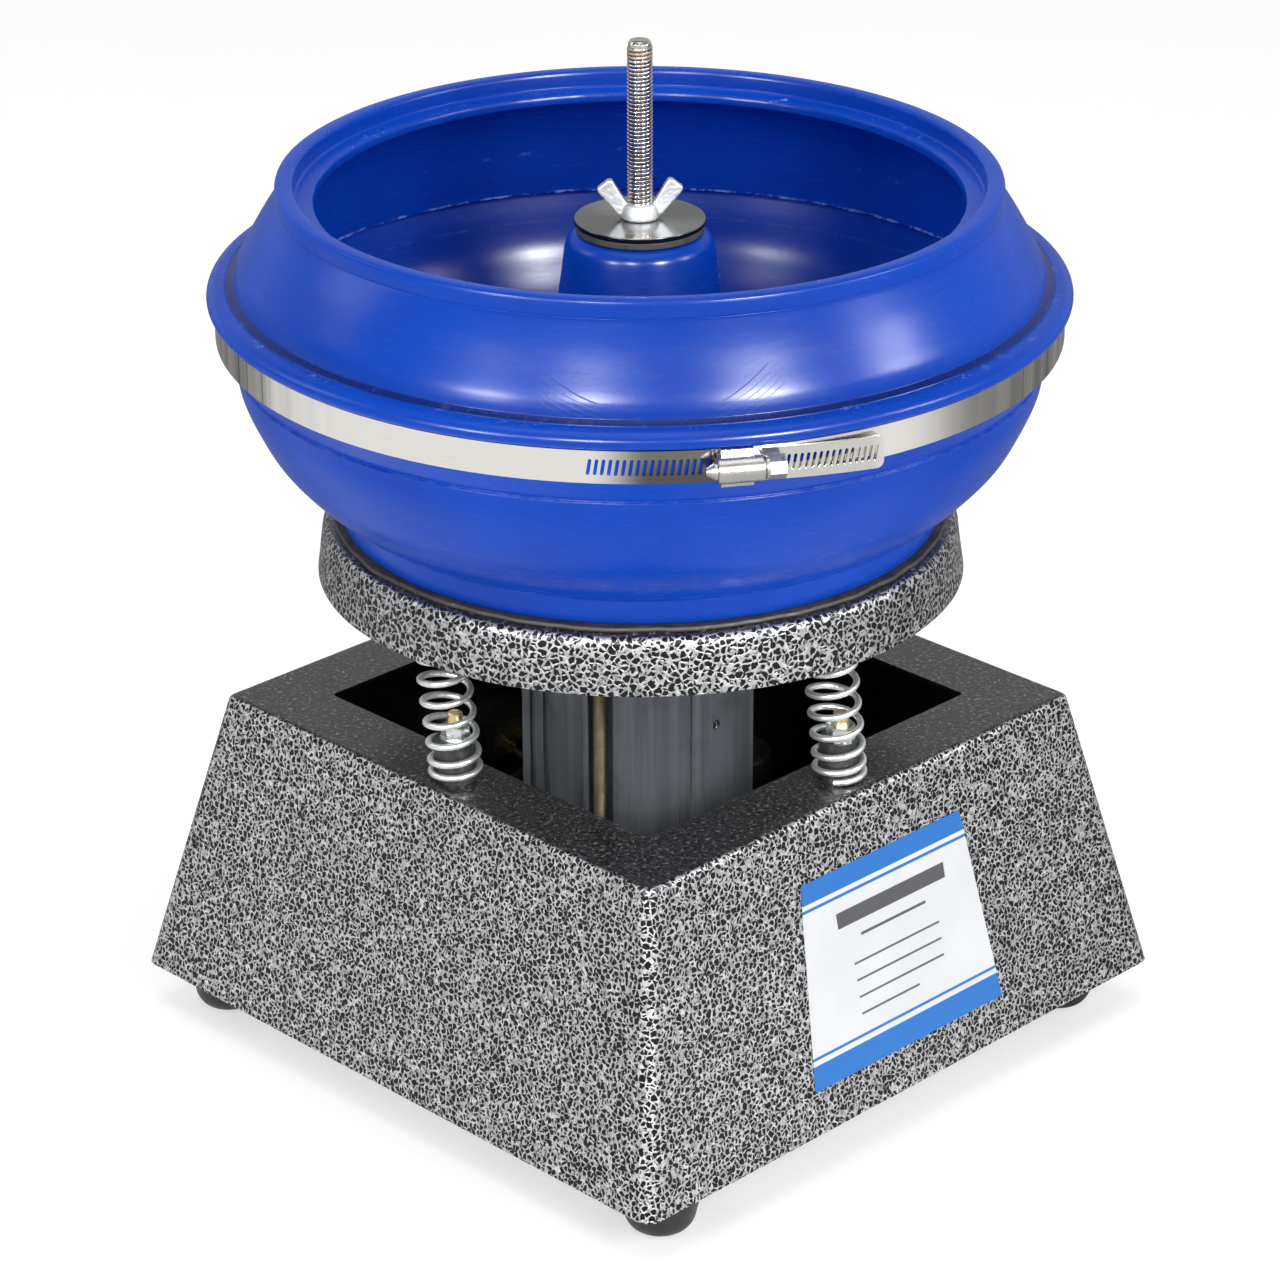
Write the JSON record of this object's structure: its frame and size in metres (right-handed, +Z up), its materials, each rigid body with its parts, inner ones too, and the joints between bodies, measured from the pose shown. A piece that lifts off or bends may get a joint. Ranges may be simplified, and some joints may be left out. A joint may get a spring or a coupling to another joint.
{
  "type": "vibratory rock tumbler",
  "caption": "Free-standing vibratory tumbler: tapered sheet-metal base, coil-sprung tray with motor and eccentric weight, two-piece round bowl clamped by a worm-drive band and a wing nut.",
  "frame": {"origin": "on the bowl and stud axis, at floor level, which is the bottom centre of the bounding box", "axes": "+Z up along the stud; -Y is the front wall with the label plate; the spring-borne head rests 2 mm off the base centre in X and Y"},
  "size_m": [0.34, 0.34, 0.4203],
  "materials": {
    "hammered_paint": "silver-vein hammered paint",
    "black_paint": "satin black",
    "motor_grey": "satin grey paint over extruded aluminium",
    "black_rubber": "matt",
    "gasket_rubber": "matt, slightly brown",
    "zinc_plate": "bright zinc plate",
    "yellow_zinc": "yellow zinc plate",
    "spring_steel": "bright zinc plated wire",
    "stainless": "polished stainless strip",
    "polished_steel": "polished",
    "cast_zinc": "cast, zinc plated",
    "blue_plastic": "semi-gloss moulded",
    "label": "printed film",
    "black_plastic": "fine grain",
    "brass": "plain",
    "copper_winding": "enamelled copper",
    "lamination": "stacked electrical steel",
    "shaft_steel": "ground",
    "cast_aluminium": "as cast",
    "cast_iron": "as cast",
    "wire_sleeve": "flexible sleeve"
  },
  "bodies": {
    "base": {"base_housing": "hammered_paint", "bottom_cover": "black_paint", "bottom_cover_screws": "zinc_plate", "rubber_feet": "black_rubber", "foot_screws": "zinc_plate", "foot_nuts": "zinc_plate", "support_springs": "spring_steel", "lower_spring_bosses": "black_rubber", "lower_spring_bolts": "yellow_zinc", "lower_spring_nuts": "zinc_plate", "label_plate": "label", "switch_body": "black_plastic", "switch_terminals": "brass", "power_inlet": "black_plastic", "inlet_pins": "brass", "inlet_screws": "zinc_plate", "run_capacitor": "black_plastic", "capacitor_clip": "zinc_plate", "capacitor_clip_screw": "zinc_plate", "supply_wires": "wire_sleeve"},
    "head": {"drive_tray": "hammered_paint", "tray_gasket": "gasket_rubber", "center_stud": "stainless", "stud_nuts": "zinc_plate", "stud_washer": "zinc_plate", "upper_spring_bosses": "black_rubber", "upper_spring_bolts": "yellow_zinc", "upper_spring_nuts": "zinc_plate", "motor_housing": "motor_grey", "motor_earth_screw": "zinc_plate", "motor_top_bell": "cast_aluminium", "motor_bottom_bell": "cast_aluminium", "motor_tie_bolts": "yellow_zinc", "motor_mount_screws": "zinc_plate", "stator_core": "lamination", "stator_windings": "copper_winding", "bearing_outer_races": "shaft_steel", "motor_lead": "wire_sleeve"},
    "rotor": {"rotor_shaft": "shaft_steel", "rotor_core": "lamination", "rotor_cage_rings": "cast_aluminium", "bearing_inner_races": "shaft_steel", "bearing_balls": "polished_steel", "cooling_fan": "black_plastic", "eccentric_weight": "cast_iron", "eccentric_set_screw": "zinc_plate"},
    "bowl": {"lower_bowl": "blue_plastic", "post_gasket": "gasket_rubber", "clamp_band": "stainless", "clamp_housing": "stainless"},
    "collar": {"bowl_collar": "blue_plastic"},
    "clamp_screw": {"clamp_worm_screw": "stainless"},
    "washer": {"steel_washer": "polished_steel"},
    "wing_nut": {"wing_nut": "cast_zinc"},
    "switch": {"switch_rocker": "black_plastic"}
  },
  "joints": [
    {"name": "head_bounce", "type": "slide", "parent": "base", "child": "head", "axis": [0, 0, 1], "range_m": [-0.004, 0.004], "stiffness_N_per_m": 24000, "springref_m": 0.003, "deforming": ["support_springs"]},
    {"name": "rotor_spin", "type": "hinge", "parent": "head", "child": "rotor", "pos_m": [0, 0, 0.15], "axis": [0, 0, 1], "continuous": true},
    {"name": "bowl_lift", "type": "slide", "parent": "head", "child": "bowl", "axis": [0, 0, 1], "range_m": [0, 0.2]},
    {"name": "collar_lift", "type": "slide", "parent": "bowl", "child": "collar", "axis": [0, 0, 1], "range_m": [0, 0.08]},
    {"name": "clamp_screw_spin", "type": "hinge", "parent": "bowl", "child": "clamp_screw", "pos_m": [-0.09357, -0.1448, 0.31155], "axis": [0.8399, -0.5427, 0], "continuous": true},
    {"name": "washer_lift", "type": "slide", "parent": "bowl", "child": "washer", "axis": [0, 0, 1], "range_m": [0, 0.0151]},
    {"name": "wing_nut_spin", "type": "hinge", "parent": "washer", "child": "wing_nut", "pos_m": [0, 0, 0.352], "axis": [0, 0, 1], "range_deg": [0, 3600]},
    {"name": "switch_rock", "type": "hinge", "parent": "base", "child": "switch", "pos_m": [-0.032, 0.13563, 0.074], "axis": [0, -0.2177, 0.976], "range_deg": [-14, 0]}
  ],
  "couplings": [
    {"joint": "washer_lift", "follows": "wing_nut_spin", "m_per_rad": 0.00023873}
  ]
}
